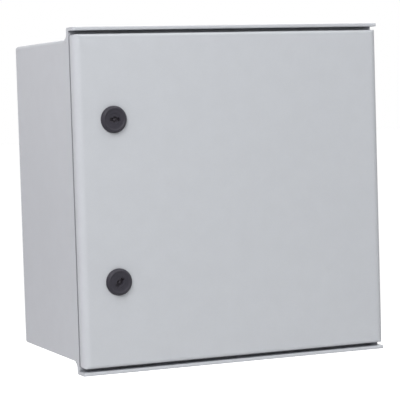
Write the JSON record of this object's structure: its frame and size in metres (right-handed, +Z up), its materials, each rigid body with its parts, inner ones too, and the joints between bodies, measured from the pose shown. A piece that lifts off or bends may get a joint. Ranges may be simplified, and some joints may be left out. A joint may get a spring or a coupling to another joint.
{
  "type": "traffic signal controller cabinet",
  "caption": "Square grey glass-fibre polyester wall cabinet with a hinged door between rain lips, quarter-turn locks and signal control equipment on a plate inside.",
  "frame": {"origin": "centre of the back face, on the wall plane, midway between the four wall fixing holes", "axes": "+X to the right seen from the front, +Y into the wall, so the door faces -Y, and +Z up"},
  "size_m": [0.504, 0.2875, 0.509],
  "materials": {
    "grey_polyester": "compression-moulded glass-fibre polyester, fine satin texture",
    "black_polyamide": "injection-moulded glass-filled polyamide, satin",
    "zinc_plated_steel": "bright zinc plating",
    "stainless_steel": "satin stainless steel",
    "brass": "drawn brass",
    "foam_gasket": "foamed polyurethane, closed skin",
    "seal_rubber": "moulded rubber",
    "module_plastic": "moulded thermoplastic, fine texture",
    "unit_housing": "moulded thermoplastic housing, fine texture",
    "driver_housing": "moulded thermoplastic housing, fine texture",
    "duct_plastic": "extruded vinyl, satin",
    "terminal_plastic": "moulded polyamide, matt",
    "post_plastic": "moulded polyester standoff, matt"
  },
  "bodies": {
    "cabinet": {"case_body": "grey_polyester", "mounting_plate": "zinc_plated_steel", "plate_screws": "zinc_plated_steel", "upper_rail": "zinc_plated_steel", "lower_rail": "zinc_plated_steel", "rail_screws": "zinc_plated_steel", "controller_screws": "zinc_plated_steel", "case_leaf_upper": "stainless_steel", "case_leaf_lower": "stainless_steel", "hinge_pin_upper": "stainless_steel", "hinge_pin_lower": "stainless_steel", "case_leaf_screws": "stainless_steel", "threaded_inserts": "brass", "earth_bar": "brass", "earth_screws": "brass", "breaker_body": "module_plastic", "surge_arrester": "module_plastic", "terminal_stops": "module_plastic", "controller_unit": "unit_housing", "power_supply": "driver_housing", "lamp_drivers": "driver_housing", "duct_trays": "duct_plastic", "duct_covers": "duct_plastic", "terminal_blocks": "terminal_plastic", "earth_bar_posts": "post_plastic"},
    "door": {"door_panel": "grey_polyester", "door_gasket": "foam_gasket", "door_leaf_upper": "stainless_steel", "door_leaf_lower": "stainless_steel", "door_leaf_screws": "stainless_steel", "lock_housing_upper": "black_polyamide", "lock_housing_lower": "black_polyamide", "lock_seal_upper": "seal_rubber", "lock_seal_lower": "seal_rubber", "lock_nut_upper": "black_polyamide", "lock_nut_lower": "black_polyamide"},
    "lock_upper": {"lock_spindle_upper": "black_polyamide", "lock_cam_upper": "zinc_plated_steel", "cam_screw_upper": "zinc_plated_steel"},
    "lock_lower": {"lock_spindle_lower": "black_polyamide", "lock_cam_lower": "zinc_plated_steel", "cam_screw_lower": "zinc_plated_steel"},
    "toggle": {"breaker_toggle": "black_polyamide"}
  },
  "joints": [
    {"name": "door_hinge", "type": "hinge", "parent": "cabinet", "child": "door", "pos_m": [0.2495, -0.261, 0], "axis": [0, 0, 1], "range_deg": [0, 130]},
    {"name": "upper_lock_turn", "type": "hinge", "parent": "door", "child": "lock_upper", "pos_m": [-0.1921, -0.281, 0.1191], "axis": [0, -1, 0], "range_deg": [0, 90]},
    {"name": "lower_lock_turn", "type": "hinge", "parent": "door", "child": "lock_lower", "pos_m": [-0.1921, -0.281, -0.1191], "axis": [0, -1, 0], "range_deg": [-45, 45]},
    {"name": "breaker_switch", "type": "hinge", "parent": "cabinet", "child": "toggle", "pos_m": [-0.1274, -0.0905, 0.13], "axis": [1, 0, 0], "range_deg": [0, 70]}
  ]
}
